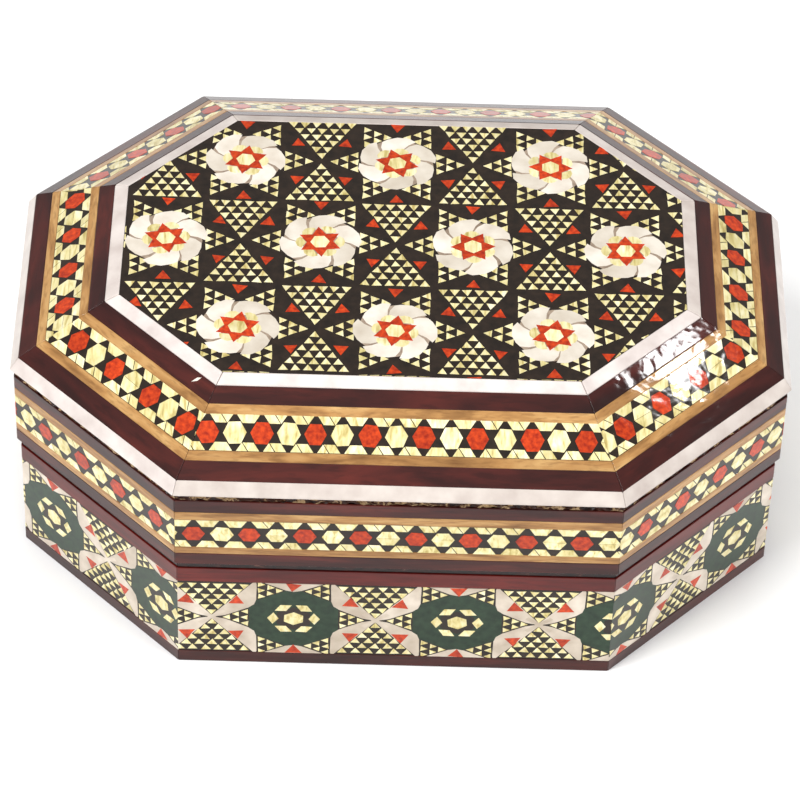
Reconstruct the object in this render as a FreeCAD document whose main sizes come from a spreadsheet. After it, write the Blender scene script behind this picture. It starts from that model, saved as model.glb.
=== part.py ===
import FreeCAD, Part
import os
import Sketcher

# Octagonal inlaid box with a hinged lid, in millimetres.
# The origin is on the underside at the middle of the plan, +Z is up and the front faces -Y.

SIZES = {
    # Plan of the lid rim over its finished faces; the corners are cut at 45 degrees
    "lid_width": 124.0,
    "lid_depth": 94.0,
    "corner_cut": 27.0,
    # The base stands back from the rim face, and the bone line on the lid's edge stands out from it
    "base_setback": 0.6,
    "edge_overhang": 0.5,
    "parting_gap": 0.25,
    # Thicknesses of the inlay and strips, the boards and the linings
    "inlay_thickness": 1.2,
    "top_inlay_thickness": 1.5,
    "base_wall_thickness": 4.5,
    "rim_wall_thickness": 4.5,
    "bottom_board_thickness": 3.0,
    "top_board_thickness": 5.0,
    "lining_thickness": 0.8,
    "lining_drop": 1.0,
    # Base side, from the bottom up
    "base_lower_edging_height": 2.4,
    "base_panel_height": 16.2,
    "base_upper_edging_height": 4.4,
    # Lid rim, from the bottom up
    "rim_lower_dark_height": 2.4,
    "rim_lower_pale_height": 1.45,
    "rim_inlay_height": 6.0,
    "rim_upper_pale_height": 1.7,
    "rim_upper_dark_height": 2.55,
    "raw_edge_height": 1.5,
    # Bone line on the lid's edge: its slanting face, and the blunt lip at its foot
    "edge_line_run": 1.34,
    "edge_line_height": 2.3,
    "edge_line_lip": 0.25,
    # Sloping border, widths along the slope from the outside in
    "slope_angle": 29.1,
    "slope_lower_dark_width": 3.25,
    "slope_lower_pale_width": 1.65,
    "slope_inlay_width": 6.0,
    "slope_upper_pale_width": 1.65,
    "slope_upper_dark_width": 3.0,
    # Bone line round the top panel
    "top_line_run": 2.3,
    "top_line_rise": 0.75,
    # Butt hinges
    "hinge_length": 14.0,
    "hinge_corner_margin": 6.0,
    "hinge_standoff": 0.1,
    "leaf_thickness": 0.7,
    "leaf_margin": 0.6,
    "lid_knuckle_length": 5.0,
    "knuckle_end_gap": 0.15,
    "knuckle_wall": 0.4,
    "barrel_clearance": 0.15,
    "pin_radius": 0.45,
    "pin_clearance": 0.05,
    "pin_head_radius": 0.7,
    "pin_head_thickness": 0.3,
    # Countersunk hinge screws
    "screw_spacing": 8.0,
    "screw_length": 5.0,
    "screw_head_radius": 1.05,
    "screw_shank_radius": 0.5,
    "screw_clearance": 0.03,
    "screw_slot_width": 0.3,
    "screw_slot_depth": 0.25,
}

doc = FreeCAD.newDocument("InlaidBox")
sheet = doc.addObject("Spreadsheet::Sheet", "Dims")
for row, (alias, value) in enumerate(SIZES.items(), start=1):
    sheet.set(f"A{row}", alias)
    sheet.set(f"B{row}", str(value))
    sheet.setAlias(f"B{row}", alias)
doc.recompute()

nodes = []


def keep(piece, label):
    """Give a finished piece its name and put it on the list of sub-parts."""
    piece.Label = label
    nodes.append(piece)
    return piece


def total(*terms):
    """Sum of expressions, in brackets."""
    return "(" + " + ".join(terms) + ")"


def sizes(*aliases):
    """Sum of named sizes, in brackets."""
    return total(*(f"Dims.{alias}" for alias in aliases))


# Plan: distances inward from the rim's finished face, and the eight sides

MITRE = "tan(22.5 deg)"
HALF_WIDTH = "(Dims.lid_width / 2)"
HALF_DEPTH = "(Dims.lid_depth / 2)"
HALF_FRONT = f"({HALF_WIDTH} - Dims.corner_cut)"
HALF_SIDE = f"({HALF_DEPTH} - Dims.corner_cut)"
HALF_CORNER = "(Dims.corner_cut / sqrt(2))"
CORNER_X = f"({HALF_WIDTH} - Dims.corner_cut / 2)"
CORNER_Y = f"({HALF_DEPTH} - Dims.corner_cut / 2)"

# Each side: turn of its outward normal from +Y, middle of its face in plan, half its length
SIDES = {
    "back": (0, "0", HALF_DEPTH, HALF_FRONT),
    "back_left": (45, f"-{CORNER_X}", CORNER_Y, HALF_CORNER),
    "left": (90, f"-{HALF_WIDTH}", "0", HALF_SIDE),
    "front_left": (135, f"-{CORNER_X}", f"-{CORNER_Y}", HALF_CORNER),
    "front": (180, "0", f"-{HALF_DEPTH}", HALF_FRONT),
    "front_right": (225, CORNER_X, f"-{CORNER_Y}", HALF_CORNER),
    "right": (270, HALF_WIDTH, "0", HALF_SIDE),
    "back_right": (315, CORNER_X, CORNER_Y, HALF_CORNER),
}

BASE_FACE = "Dims.base_setback"
BASE_CORE = sizes("base_setback", "inlay_thickness")
BASE_INNER = total(BASE_CORE, "Dims.base_wall_thickness")
BASE_LINED = total(BASE_INNER, "Dims.lining_thickness")
RIM_FACE = "0"
RIM_CORE = "Dims.inlay_thickness"
RIM_INNER = sizes("inlay_thickness", "rim_wall_thickness")
EDGE_FACE = "-Dims.edge_overhang"
SLOPE_FOOT = "(Dims.edge_line_run - Dims.edge_overhang)"

# Heights

LOWER_EDGING_TOP = "Dims.base_lower_edging_height"
PANEL_TOP = sizes("base_lower_edging_height", "base_panel_height")
BASE_TOP = total(PANEL_TOP, "Dims.base_upper_edging_height")
FLOOR = "Dims.bottom_board_thickness"
LINED_FLOOR = sizes("bottom_board_thickness", "lining_thickness")
RIM_FOOT = total(BASE_TOP, "Dims.parting_gap")

RIM_STRIPS = ["lower_dark", "lower_pale", "inlay", "upper_pale", "upper_dark"]
SLOPE_STRIPS = ["lower_dark", "lower_pale", "inlay", "upper_pale", "upper_dark"]


def rim_height(count):
    """Height at the top of the first strips of the rim, counted from its foot."""
    return total(RIM_FOOT, *(f"Dims.rim_{strip}_height" for strip in RIM_STRIPS[:count]))


def slope_length(count):
    """Length along the slope of its first strips, counted from its foot."""
    return total("0", *(f"Dims.slope_{strip}_width" for strip in SLOPE_STRIPS[:count]))


RIM_TOP = rim_height(len(RIM_STRIPS))
EDGE_FOOT = total(RIM_TOP, "Dims.raw_edge_height")
EDGE_TOP = total(EDGE_FOOT, "Dims.edge_line_height")


def slope_inset(count):
    """Inset of the upper edge of the slope's first strips."""
    return total(SLOPE_FOOT, f"{slope_length(count)} * cos(Dims.slope_angle)")


def slope_height(count):
    """Height of the upper edge of the slope's first strips, on the finished face."""
    return total(EDGE_TOP, f"{slope_length(count)} * sin(Dims.slope_angle)")


SLOPE_SKIN = "(Dims.inlay_thickness / cos(Dims.slope_angle))"
SLOPE_HEAD = slope_inset(len(SLOPE_STRIPS))
SLOPE_TOP = slope_height(len(SLOPE_STRIPS))
PANEL_EDGE = total(SLOPE_HEAD, "Dims.top_line_run")
LID_TOP = total(SLOPE_TOP, "Dims.top_line_rise")
TOP_BOARD_TOP = f"({LID_TOP} - Dims.top_inlay_thickness)"
TOP_BOARD_UNDER = f"({TOP_BOARD_TOP} - Dims.top_board_thickness)"


# Shapes that the box is made of

def mitred_piece(name, side, inner_inset, outer_inset, inner_heights, outer_heights):
    """One straight piece of an eight-sided ring, mitred at both ends.

    inner_heights and outer_heights are the bottom and top along its two long edges.
    """
    turn, middle_x, middle_y, half_length = SIDES[side]
    inner_half = f"({half_length} - ({inner_inset}) * {MITRE})"
    outer_half = f"({half_length} - ({outer_inset}) * {MITRE})"
    piece = doc.addObject("Part::Wedge", name)
    piece.setExpression("Ymin", f"-({inner_inset})")
    piece.setExpression("Ymax", f"-({outer_inset})")
    piece.setExpression("Xmin", f"-{inner_half}")
    piece.setExpression("Xmax", inner_half)
    piece.setExpression("X2min", f"-{outer_half}")
    piece.setExpression("X2max", outer_half)
    piece.setExpression("Zmin", inner_heights[0])
    piece.setExpression("Zmax", inner_heights[1])
    piece.setExpression("Z2min", outer_heights[0])
    piece.setExpression("Z2max", outer_heights[1])
    piece.Placement.Rotation = FreeCAD.Rotation(FreeCAD.Vector(0, 0, 1), turn)
    piece.setExpression("Placement.Base.x", middle_x)
    piece.setExpression("Placement.Base.y", middle_y)
    return piece


def cut_away(piece, tool):
    """The piece with the tool's shape cut out of it."""
    cut = doc.addObject("Part::Cut", piece.Name + "_cut")
    cut.Base = piece
    cut.Tool = tool
    return cut


def mitred_set(label, inner_inset, outer_inset, inner_heights, outer_heights, hinge_tool=None):
    """The eight mitred pieces of a ring as separate sub-parts, the back one let in for the hinges."""
    for side in SIDES:
        name = f"{label}_{side}"
        piece = mitred_piece(name + "_blank", side, inner_inset, outer_inset, inner_heights, outer_heights)
        if side == "back" and hinge_tool:
            piece = cut_away(piece, hinge_tool)
        keep(piece, name)


def mitred_ring(label, inner_inset, outer_inset, inner_heights, outer_heights, hinge_tool=None):
    """The eight mitred strips of a ring as one sub-part of separate solids."""
    strips = []
    for side in SIDES:
        name = f"{label}_{side}"
        strip = mitred_piece(name, side, inner_inset, outer_inset, inner_heights, outer_heights)
        if side == "back" and hinge_tool:
            strip = cut_away(strip, hinge_tool)
        strips.append(strip)
    ring = doc.addObject("Part::Compound", label + "_ring")
    ring.Links = strips
    return keep(ring, label)


def number(expression):
    """Present value of an expression on the sheet's sizes."""
    return float(sheet.evalExpression(expression.replace("Dims.", "")))


def octagon_outline(sketch, inset):
    """Draw the box's octagon, moved inward by the inset, and tie it to the sheet."""
    half_x = f"({HALF_WIDTH} - {inset})"
    half_y = f"({HALF_DEPTH} - {inset})"
    half_front = f"({HALF_FRONT} - {inset} * {MITRE})"
    half_side = f"({HALF_SIDE} - {inset} * {MITRE})"
    x, y = number(half_x), number(half_y)
    front_x, side_y = number(half_front), number(half_side)
    corners = [
        (-front_x, -y), (front_x, -y), (x, -side_y), (x, side_y),
        (front_x, y), (-front_x, y), (-x, side_y), (-x, -side_y),
    ]
    points = [FreeCAD.Vector(*corner, 0) for corner in corners]
    count = len(points)
    for index in range(count):
        sketch.addGeometry(Part.LineSegment(points[index], points[(index + 1) % count]), False)
    for index in range(count):
        sketch.addConstraint(Sketcher.Constraint("Coincident", index, 2, (index + 1) % count, 1))
    front, right, back, left = 0, 2, 4, 6
    horizontal_axis, vertical_axis = -1, -2
    for line, name, axis, length, distance in (
        (front, "front", vertical_axis, half_front, half_y),
        (right, "right", horizontal_axis, half_side, half_x),
        (back, "back", vertical_axis, half_front, half_y),
        (left, "left", horizontal_axis, half_side, half_x),
    ):
        sketch.addConstraint(Sketcher.Constraint("Symmetric", line, 1, line, 2, axis))
        length_index = sketch.addConstraint(Sketcher.Constraint("Distance", line, 2 * number(length)))
        sketch.renameConstraint(length_index, f"{name}_length")
        sketch.setExpression(f"Constraints.{name}_length", f"2 * {length}")
        place_index = sketch.addConstraint(Sketcher.Constraint("Distance", -1, 1, line, number(distance)))
        sketch.renameConstraint(place_index, f"{name}_distance")
        sketch.setExpression(f"Constraints.{name}_distance", distance)


def octagon_plate(label, inset, bottom, thickness):
    """Flat octagonal board, panel or lining."""
    body = doc.addObject("PartDesign::Body", label + "_body")
    plane = next(feature for feature in body.Origin.OriginFeatures if feature.Role == "XY_Plane")
    sketch = body.newObject("Sketcher::SketchObject", label + "_outline")
    sketch.AttachmentSupport = [(plane, "")]
    sketch.MapMode = "FlatFace"
    octagon_outline(sketch, inset)
    pad = body.newObject("PartDesign::Pad", label + "_pad")
    pad.Profile = sketch
    pad.setExpression("Length", thickness)
    body.Tip = pad
    body.setExpression("Placement.Base.z", bottom)
    return keep(body, label)


# Hinge pieces are drawn round the hinge axis: X along the pin, -Y into the box

AXIS_Y = f"({HALF_DEPTH} - Dims.base_setback + Dims.hinge_standoff)"
AXIS_Z = f"({BASE_TOP} + Dims.parting_gap / 2)"
HINGE_X = f"({HALF_FRONT} - Dims.hinge_corner_margin - Dims.hinge_length / 2)"
HINGES = {"left": f"-{HINGE_X}", "right": HINGE_X}

BARREL_RADIUS = sizes("pin_radius", "pin_clearance", "knuckle_wall")
RELIEF_RADIUS = total(BARREL_RADIUS, "Dims.barrel_clearance")
LEAF_REACH = f"({RIM_INNER} - Dims.base_setback + Dims.hinge_standoff - Dims.leaf_margin)"
BASE_LEAF_BOTTOM = "(-Dims.parting_gap / 2 - Dims.leaf_thickness)"
LID_LEAF_BOTTOM = "(Dims.parting_gap / 2)"
BASE_KNUCKLE_LENGTH = "((Dims.hinge_length - Dims.lid_knuckle_length) / 2 - Dims.knuckle_end_gap)"
SCREW_Y = f"(-({LEAF_REACH} + {RELIEF_RADIUS}) / 2)"
SCREW_HEAD_DEPTH = "(Dims.screw_head_radius - Dims.screw_shank_radius)"

ALONG_X = FreeCAD.Rotation(FreeCAD.Vector(0, 1, 0), 90)


def block(name, low, extent):
    """Box from its lowest corner and its extents."""
    box = doc.addObject("Part::Box", name)
    for prop, expression in zip(("Length", "Width", "Height"), extent):
        box.setExpression(prop, expression)
    for axis, expression in zip("xyz", low):
        box.setExpression(f"Placement.Base.{axis}", expression)
    return box


def rod(name, radius, start, length):
    """Cylinder on the hinge axis, from a place along it."""
    cylinder = doc.addObject("Part::Cylinder", name)
    cylinder.setExpression("Radius", radius)
    cylinder.setExpression("Height", length)
    cylinder.Placement.Rotation = ALONG_X
    cylinder.setExpression("Placement.Base.x", start)
    return cylinder


def union(name, pieces):
    """Several shapes joined into one."""
    joined = doc.addObject("Part::MultiFuse", name)
    joined.Shapes = pieces
    return joined


def place_hinge(piece, side):
    """Move a piece from the hinge's own axis to its place on the box."""
    piece.setExpression("Placement.Base.x", HINGES[side])
    piece.setExpression("Placement.Base.y", AXIS_Y)
    piece.setExpression("Placement.Base.z", AXIS_Z)
    return piece


def screw_shape(name, x, points_down, clearance):
    """Countersunk screw body: a cone for the head and a cylinder for the shank."""
    head = doc.addObject("Part::Cone", name + "_head")
    shank = doc.addObject("Part::Cylinder", name + "_shank")
    wide, narrow = "Dims.screw_head_radius", "Dims.screw_shank_radius"
    head.setExpression("Radius1", narrow if points_down else wide)
    head.setExpression("Radius2", wide if points_down else narrow)
    head.setExpression("Height", SCREW_HEAD_DEPTH)
    shank.setExpression("Radius", total(narrow, clearance))
    shank.setExpression("Height", "Dims.screw_length")
    face = "Dims.parting_gap / 2"
    head_low = f"-{face} - {SCREW_HEAD_DEPTH}" if points_down else face
    shank_low = f"-{face} - Dims.screw_length" if points_down else face
    for piece, low in ((head, head_low), (shank, shank_low)):
        piece.setExpression("Placement.Base.x", x)
        piece.setExpression("Placement.Base.y", SCREW_Y)
        piece.setExpression("Placement.Base.z", low)
    return union(name, [head, shank])


SCREW_PLACES = ("-Dims.screw_spacing / 2", "Dims.screw_spacing / 2")


def screw_holes(name, points_down):
    """Countersunk holes for the two screws of a leaf."""
    return [
        screw_shape(f"{name}_{index}", x, points_down, "Dims.screw_clearance")
        for index, x in enumerate(SCREW_PLACES)
    ]


def leaf_plate(name, bottom):
    """The flat of a leaf, clear of the barrel."""
    low = ("-Dims.hinge_length / 2", f"-{LEAF_REACH}", bottom)
    extent = ("Dims.hinge_length", f"({LEAF_REACH} - {RELIEF_RADIUS})", "Dims.leaf_thickness")
    return block(name, low, extent)


def knuckle(name, start, length, leaf_bottom):
    """A length of barrel, and the tongue that joins it to its leaf."""
    tongue = block(
        name + "_tongue",
        (start, f"-{RELIEF_RADIUS}", leaf_bottom),
        (length, RELIEF_RADIUS, "Dims.leaf_thickness"),
    )
    return [tongue, rod(name, BARREL_RADIUS, start, length)]


def hinge_leaf(label, side, is_base):
    """One leaf: its flat, its knuckles, the pin's hole and the screws' countersunk holes."""
    bottom = BASE_LEAF_BOTTOM if is_base else LID_LEAF_BOTTOM
    pieces = [leaf_plate(label + "_plate", bottom)]
    if is_base:
        pieces += knuckle(label + "_knuckle_a", "-Dims.hinge_length / 2", BASE_KNUCKLE_LENGTH, bottom)
        second = f"Dims.hinge_length / 2 - {BASE_KNUCKLE_LENGTH}"
        pieces += knuckle(label + "_knuckle_b", second, BASE_KNUCKLE_LENGTH, bottom)
    else:
        pieces += knuckle(label + "_knuckle", "-Dims.lid_knuckle_length / 2", "Dims.lid_knuckle_length", bottom)
    hole = rod(
        label + "_pin_hole",
        sizes("pin_radius", "pin_clearance"),
        "-Dims.hinge_length",
        "2 * Dims.hinge_length",
    )
    cutters = union(label + "_holes", [hole] + screw_holes(label + "_screw_hole", is_base))
    leaf = cut_away(union(label + "_blank", pieces), cutters)
    return keep(place_hinge(leaf, side), label)


def hinge_pin(label, side):
    """Pin with a flattened head at each end."""
    head_at = "Dims.hinge_length / 2"
    shaft = rod(label + "_shaft", "Dims.pin_radius", f"-{head_at}", "Dims.hinge_length")
    far_head = rod(label + "_far_head", "Dims.pin_head_radius", head_at, "Dims.pin_head_thickness")
    near_start = f"-{head_at} - Dims.pin_head_thickness"
    near_head = rod(label + "_near_head", "Dims.pin_head_radius", near_start, "Dims.pin_head_thickness")
    pin = union(label + "_whole", [near_head, shaft, far_head])
    return keep(place_hinge(pin, side), label)


def hinge_screws(label, points_down):
    """All screws of the leaves on one half of the box, each with a slotted head."""
    screws = []
    face = "Dims.parting_gap / 2"
    slot_low = f"-{face} - Dims.screw_slot_depth" if points_down else face
    for side in HINGES:
        for index, x in enumerate(SCREW_PLACES):
            name = f"{label}_{side}_{index}"
            blank = screw_shape(name, x, points_down, "0")
            slot = block(
                name + "_slot",
                (f"{x} - Dims.screw_head_radius", f"{SCREW_Y} - Dims.screw_slot_width / 2", slot_low),
                ("2 * Dims.screw_head_radius", "Dims.screw_slot_width", "Dims.screw_slot_depth"),
            )
            screws.append(place_hinge(cut_away(blank, slot), side))
    group = doc.addObject("Part::Compound", label + "_group")
    group.Links = screws
    return keep(group, label)


def hinge_recess(name, is_base):
    """What is cut out of the back for both hinges: barrel groove, leaf mortise and screw holes."""
    recesses = []
    bottom = BASE_LEAF_BOTTOM if is_base else LID_LEAF_BOTTOM
    groove_half = sizes("pin_head_thickness", "knuckle_end_gap", "hinge_length / 2")
    for side in HINGES:
        label = f"{name}_{side}"
        groove = rod(label + "_groove", RELIEF_RADIUS, f"-{groove_half}", f"2 * {groove_half}")
        mortise = block(
            label + "_mortise",
            ("-Dims.hinge_length / 2", f"-{LEAF_REACH}", bottom),
            ("Dims.hinge_length", LEAF_REACH, "Dims.leaf_thickness"),
        )
        holes = screw_holes(label + "_screw_hole", is_base)
        recesses.append(place_hinge(union(label, [groove, mortise] + holes), side))
    return union(name, recesses)


# Base

base_recess = hinge_recess("base_hinge_recess", True)
wall_heights = (FLOOR, BASE_TOP)
panel_heights = (LOWER_EDGING_TOP, PANEL_TOP)
upper_edging_heights = (PANEL_TOP, BASE_TOP)
lower_edging_heights = ("0", LOWER_EDGING_TOP)
lining_heights = (LINED_FLOOR, f"({BASE_TOP} - Dims.lining_drop)")

octagon_plate("base_bottom_board", BASE_CORE, "0", "Dims.bottom_board_thickness")
mitred_set("base_wall", BASE_INNER, BASE_CORE, wall_heights, wall_heights, base_recess)
mitred_set("base_inlay", BASE_CORE, BASE_FACE, panel_heights, panel_heights, base_recess)
mitred_ring("base_upper_edging", BASE_CORE, BASE_FACE, upper_edging_heights, upper_edging_heights, base_recess)
mitred_ring("base_lower_edging", BASE_CORE, BASE_FACE, lower_edging_heights, lower_edging_heights)
octagon_plate("base_floor_lining", BASE_INNER, FLOOR, "Dims.lining_thickness")
mitred_ring("base_wall_lining", BASE_LINED, BASE_INNER, lining_heights, lining_heights)

# Lid rim

lid_recess = hinge_recess("lid_hinge_recess", False)
rim_heights = (RIM_FOOT, RIM_TOP)
mitred_set("lid_rim_wall", RIM_INNER, RIM_CORE, rim_heights, rim_heights, lid_recess)
for index, strip in enumerate(RIM_STRIPS):
    label = "lid_rim_inlay" if strip == "inlay" else f"lid_rim_{strip}_strip"
    strip_heights = (rim_height(index), rim_height(index + 1))
    mitred_ring(label, RIM_CORE, RIM_FACE, strip_heights, strip_heights, lid_recess)

# Lid top: bevelled frame, the strips on its slope, the board let into it and its panel

frame_inner = (RIM_TOP, f"({SLOPE_TOP} - {SLOPE_SKIN})")
frame_outer = (RIM_TOP, f"({EDGE_TOP} - {SLOPE_SKIN})")
mitred_set("lid_slope_board", SLOPE_HEAD, SLOPE_FOOT, frame_inner, frame_outer)
for index, strip in enumerate(SLOPE_STRIPS):
    label = "lid_slope_inlay" if strip == "inlay" else f"lid_slope_{strip}_strip"
    outer_top, inner_top = slope_height(index), slope_height(index + 1)
    mitred_ring(
        label, slope_inset(index + 1), slope_inset(index),
        (f"({inner_top} - {SLOPE_SKIN})", inner_top),
        (f"({outer_top} - {SLOPE_SKIN})", outer_top),
    )
mitred_ring(
    "lid_edge_bone_line", SLOPE_FOOT, EDGE_FACE,
    (EDGE_FOOT, EDGE_TOP),
    (EDGE_FOOT, total(EDGE_FOOT, "Dims.edge_line_lip")),
)
octagon_plate("lid_top_board", SLOPE_HEAD, TOP_BOARD_UNDER, "Dims.top_board_thickness")
octagon_plate("lid_top_inlay", PANEL_EDGE, TOP_BOARD_TOP, "Dims.top_inlay_thickness")
mitred_ring(
    "lid_top_bone_line", PANEL_EDGE, SLOPE_HEAD,
    (TOP_BOARD_TOP, LID_TOP),
    (TOP_BOARD_TOP, SLOPE_TOP),
)
ceiling = f"({TOP_BOARD_UNDER} - Dims.lining_thickness)"
octagon_plate("lid_ceiling_lining", SLOPE_HEAD, ceiling, "Dims.lining_thickness")

# Hinges

for side in HINGES:
    hinge_leaf(f"hinge_{side}_base_leaf", side, True)
    hinge_leaf(f"hinge_{side}_lid_leaf", side, False)
    hinge_pin(f"hinge_{side}_pin", side)
hinge_screws("hinge_base_screws", True)
hinge_screws("hinge_lid_screws", False)

# Check every piece, then write one file for each sub-part

doc.recompute()
for piece in doc.Objects:
    if "Invalid" in piece.State or "Error" in piece.State:
        raise RuntimeError(f"{piece.Name} failed: {piece.State}")
for piece in nodes:
    if piece.Shape.isNull() or not piece.Shape.isValid():
        raise RuntimeError(f"{piece.Label} has no valid shape")

os.makedirs("parts", exist_ok=True)
for piece in nodes:
    piece.Shape.exportStep(f"parts/{piece.Label}.step")
    print(f"{piece.Label}: {len(piece.Shape.Solids)} solid(s), {piece.Shape.Volume:.2f} mm3")
print(f"{len(nodes)} sub-parts, {number(LID_TOP):.2f} mm high")
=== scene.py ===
import math
import random

import bpy
from mathutils import Matrix, Vector


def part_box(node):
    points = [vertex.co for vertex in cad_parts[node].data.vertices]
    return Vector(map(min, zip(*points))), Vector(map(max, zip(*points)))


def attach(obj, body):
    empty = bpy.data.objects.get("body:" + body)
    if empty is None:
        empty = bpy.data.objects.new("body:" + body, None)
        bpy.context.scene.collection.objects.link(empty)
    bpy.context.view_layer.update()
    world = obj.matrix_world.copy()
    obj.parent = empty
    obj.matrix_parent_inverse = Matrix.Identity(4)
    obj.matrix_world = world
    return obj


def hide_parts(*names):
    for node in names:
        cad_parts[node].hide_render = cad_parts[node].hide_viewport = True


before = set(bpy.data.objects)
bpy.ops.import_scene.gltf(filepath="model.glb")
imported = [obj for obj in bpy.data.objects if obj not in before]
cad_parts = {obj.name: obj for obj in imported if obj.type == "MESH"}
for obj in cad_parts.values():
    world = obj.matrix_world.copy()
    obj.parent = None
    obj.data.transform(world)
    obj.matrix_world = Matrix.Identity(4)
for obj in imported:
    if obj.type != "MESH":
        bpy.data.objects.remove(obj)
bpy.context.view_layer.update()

# Octagonal inlaid box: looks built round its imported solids, in metres.
# Sizes come from the solids; the mosaic is laid out in millimetres and scaled by MM.

MM = 0.001
MITRE = math.tan(math.radians(22.5))


def low_corner(node):
    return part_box(node)[0]


def high_corner(node):
    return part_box(node)[1]


# Plan of the box, read from the solids

HALF_WIDTH = high_corner("lid_rim_inlay").x
HALF_DEPTH = high_corner("lid_rim_inlay").y
BASE_FACE = HALF_WIDTH - high_corner("base_lower_edging").x
BASE_CORE = HALF_WIDTH - high_corner("base_wall_right").x
RIM_CORE = HALF_WIDTH - high_corner("lid_rim_wall_right").x
EDGE_FACE = HALF_WIDTH - high_corner("lid_edge_bone_line").x
PANEL_EDGE = HALF_WIDTH - high_corner("lid_top_inlay").x
BASE_INNER = HALF_WIDTH - high_corner("base_wall_lining").x
HALF_FRONT = high_corner("base_inlay_front").x + BASE_FACE * MITRE
CORNER_CUT = HALF_WIDTH - HALF_FRONT
HALF_SIDE = HALF_DEPTH - CORNER_CUT
HALF_CORNER = CORNER_CUT / math.sqrt(2)
CORNER_X = HALF_WIDTH - CORNER_CUT / 2
CORNER_Y = HALF_DEPTH - CORNER_CUT / 2

# Each side: turn of its outward face from +Y in degrees, middle of the rim face, half its length
SIDES = {
    "back": (0, (0, HALF_DEPTH), HALF_FRONT),
    "back_left": (45, (-CORNER_X, CORNER_Y), HALF_CORNER),
    "left": (90, (-HALF_WIDTH, 0), HALF_SIDE),
    "front_left": (135, (-CORNER_X, -CORNER_Y), HALF_CORNER),
    "front": (180, (0, -HALF_DEPTH), HALF_FRONT),
    "front_right": (225, (CORNER_X, -CORNER_Y), HALF_CORNER),
    "right": (270, (HALF_WIDTH, 0), HALF_SIDE),
    "back_right": (315, (CORNER_X, CORNER_Y), HALF_CORNER),
}

SLOPE_STRIPS = ["lid_slope_lower_dark_strip", "lid_slope_lower_pale_strip", "lid_slope_inlay",
                "lid_slope_upper_pale_strip", "lid_slope_upper_dark_strip"]
SLOPE_FOOT = HALF_WIDTH - high_corner("lid_slope_lower_dark_strip").x
SLOPE_HEAD = HALF_WIDTH - high_corner("lid_top_bone_line").x
SLOPE_FOOT_Z = high_corner("lid_edge_bone_line").z
SLOPE_HEAD_Z = high_corner("lid_slope_upper_dark_strip").z
SLOPE = math.atan2(SLOPE_HEAD_Z - SLOPE_FOOT_Z, SLOPE_HEAD - SLOPE_FOOT)
SLOPE_SKIN = SLOPE_FOOT_Z - low_corner("lid_slope_lower_dark_strip").z
LID_TOP = high_corner("lid_top_inlay").z

# Finish sizes
EDGE_ROUND = 0.12 * MM
JOINT_GAP = 0.03 * MM
SAW_THRESHOLD = 0.0001 * MM
TILE_TOP = 0.01 * MM
TILE_DEPTH = 0.35 * MM
TILE_EDGE = 0.025 * MM
GROUND_DROP = 0.06 * MM
EDGE_LINE_ROUND = 0.22 * MM
TOP_LINE_ROUND = 0.2 * MM
LINING_ROUND = 0.3 * MM
HINGE_ROUND = 0.06 * MM
EDGE_LIP = 0.25 * MM
WELD_DISTANCE = 0.001 * MM
FLAT_ANGLE = math.radians(1)
SHARP_ANGLE = math.radians(30)

# All chance differences between pieces come from one fixed row of draws
SEED = 7
draw = random.Random(SEED)


def stray(limit):
    """A chance difference of up to the limit, either way."""
    return draw.uniform(-limit, limit)


# Materials

def shade(red, green, blue):
    """Linear colour from 0 to 255 screen values."""
    def linear(value):
        share = value / 255
        return share / 12.92 if share <= 0.04045 else ((share + 0.055) / 1.055) ** 2.4
    return (linear(red), linear(green), linear(blue), 1)


def grey(value):
    return (value, value, value, 1)


# Reflection of a surface that lies in lacquer, where little is lost at the boundary
UNDER_LACQUER = 0.12
LACQUER_IOR = 1.31
LACQUER_WAVE_SCALE = 260
LACQUER_WAVE_DEPTH = 0.3 * MM


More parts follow.
